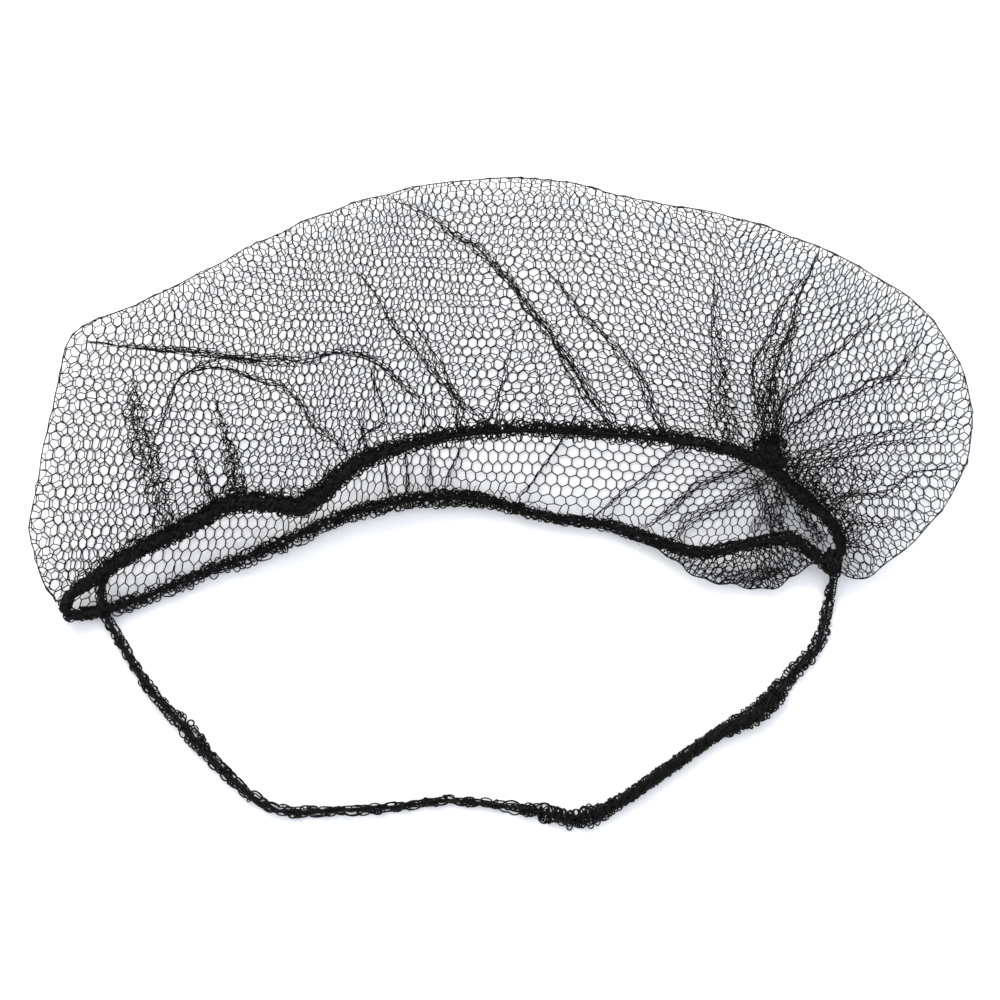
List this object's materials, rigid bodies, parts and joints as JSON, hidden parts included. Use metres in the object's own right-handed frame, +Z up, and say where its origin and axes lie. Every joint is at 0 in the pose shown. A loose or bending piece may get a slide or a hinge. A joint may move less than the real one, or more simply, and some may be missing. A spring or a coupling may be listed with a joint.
{
  "type": "beard net",
  "caption": "Honeycomb-net beard cover lying on its side: a boat-shaped pouch gathered on an elastic rim, with a knitted elastic head strap tied to both corners.",
  "frame": {"origin": "middle of the net's bounding box in plan, on the surface that it lies on", "axes": "+X along the mouth from the left corner to the right one, +Y from the mouth to the bottom of the pouch, +Z up from the table"},
  "size_m": [0.2486, 0.175, 0.0252],
  "materials": {
    "net": "fine black nylon strands, slightly glossy",
    "rim_elastic": "matte black knitted elastic",
    "strap_elastic": "matte black looped elastic yarn"
  },
  "bodies": {
    "root": {"net_pouch": "net", "upper_rim": "rim_elastic", "lower_rim": "rim_elastic", "left_corner_knot": "rim_elastic", "right_corner_knot": "rim_elastic", "gather_knot": "rim_elastic", "head_strap": "strap_elastic"}
  },
  "joints": []
}
